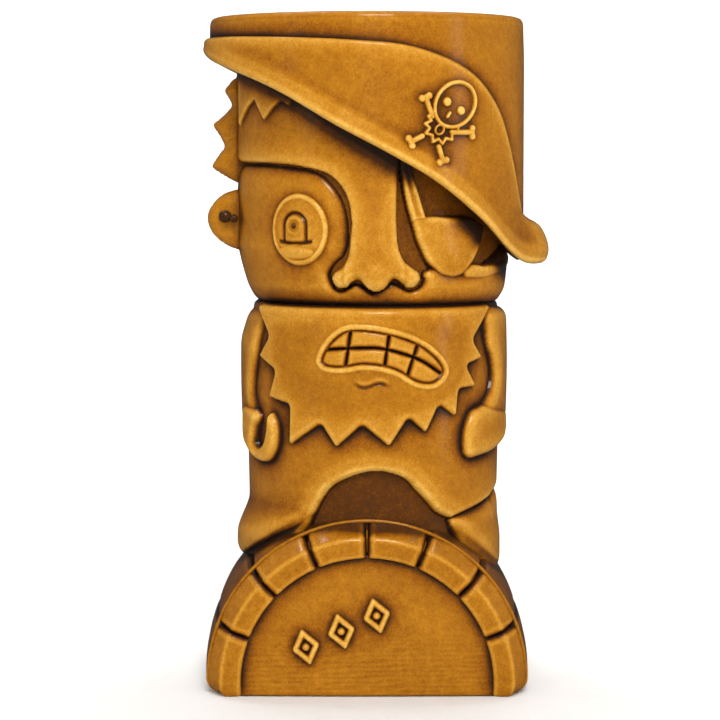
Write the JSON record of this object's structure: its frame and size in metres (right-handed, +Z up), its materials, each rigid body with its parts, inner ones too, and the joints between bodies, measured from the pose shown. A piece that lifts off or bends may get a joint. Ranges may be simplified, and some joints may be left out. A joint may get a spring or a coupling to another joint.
{
  "type": "tiki mug",
  "caption": "Tall glazed stoneware drinking mug shaped as a pirate with a turned-up hat and eye patch, standing astride a barrel; open at the hat.",
  "frame": {"origin": "middle of the flat foot, on the plane that the mug stands on", "axes": "+Z up, the figure faces -Y, +X to the right as seen from the front"},
  "size_m": [0.11, 0.1043, 0.211],
  "materials": {
    "honey_glaze": "glossy honey-brown glaze, pooled dark in hollows",
    "dark_glaze": "glossy dark brown pooled glaze",
    "thin_glaze": "glossy glaze, thin and pale over raised edges"
  },
  "bodies": {
    "root": {"base_floor": "honey_glaze", "barrel_core": "dark_glaze", "barrel_head_front": "honey_glaze", "barrel_head_back": "honey_glaze", "barrel_stave_1": "honey_glaze", "barrel_stave_2": "honey_glaze", "barrel_stave_3": "honey_glaze", "barrel_stave_4": "honey_glaze", "barrel_stave_5": "honey_glaze", "barrel_stave_6": "honey_glaze", "barrel_stave_7": "honey_glaze", "barrel_stave_8": "honey_glaze", "barrel_mark_1": "thin_glaze", "barrel_mark_2": "thin_glaze", "barrel_mark_3": "thin_glaze", "front_bead": "thin_glaze", "back_bead": "thin_glaze", "torso_wall": "dark_glaze", "coat": "honey_glaze", "left_leg": "honey_glaze", "left_boot": "honey_glaze", "right_boot": "honey_glaze", "left_arm": "honey_glaze", "hook": "dark_glaze", "right_arm": "honey_glaze", "right_hand": "honey_glaze", "beard": "honey_glaze", "mouth_rim": "thin_glaze", "tooth_1": "thin_glaze", "tooth_2": "thin_glaze", "tooth_3": "thin_glaze", "tooth_4": "thin_glaze", "tooth_5": "thin_glaze", "tooth_6": "thin_glaze", "tooth_7": "thin_glaze", "tooth_8": "thin_glaze", "head_wall": "dark_glaze", "forehead_and_nose": "honey_glaze", "left_cheek": "honey_glaze", "right_cheek": "honey_glaze", "eye_rim": "thin_glaze", "eyeball": "honey_glaze", "iris": "dark_glaze", "pupil": "thin_glaze", "lower_lid": "thin_glaze", "eye_patch": "dark_glaze", "patch_strap": "honey_glaze", "patch_lower_strap": "honey_glaze", "left_ear": "honey_glaze", "earring": "dark_glaze", "left_hair": "honey_glaze", "hair_fringe": "honey_glaze", "back_hair": "honey_glaze", "hat_crown": "honey_glaze", "hat_brim_front": "honey_glaze", "hat_brim_back": "honey_glaze", "emblem_skull": "thin_glaze", "emblem_bones": "thin_glaze"}
  },
  "joints": []
}
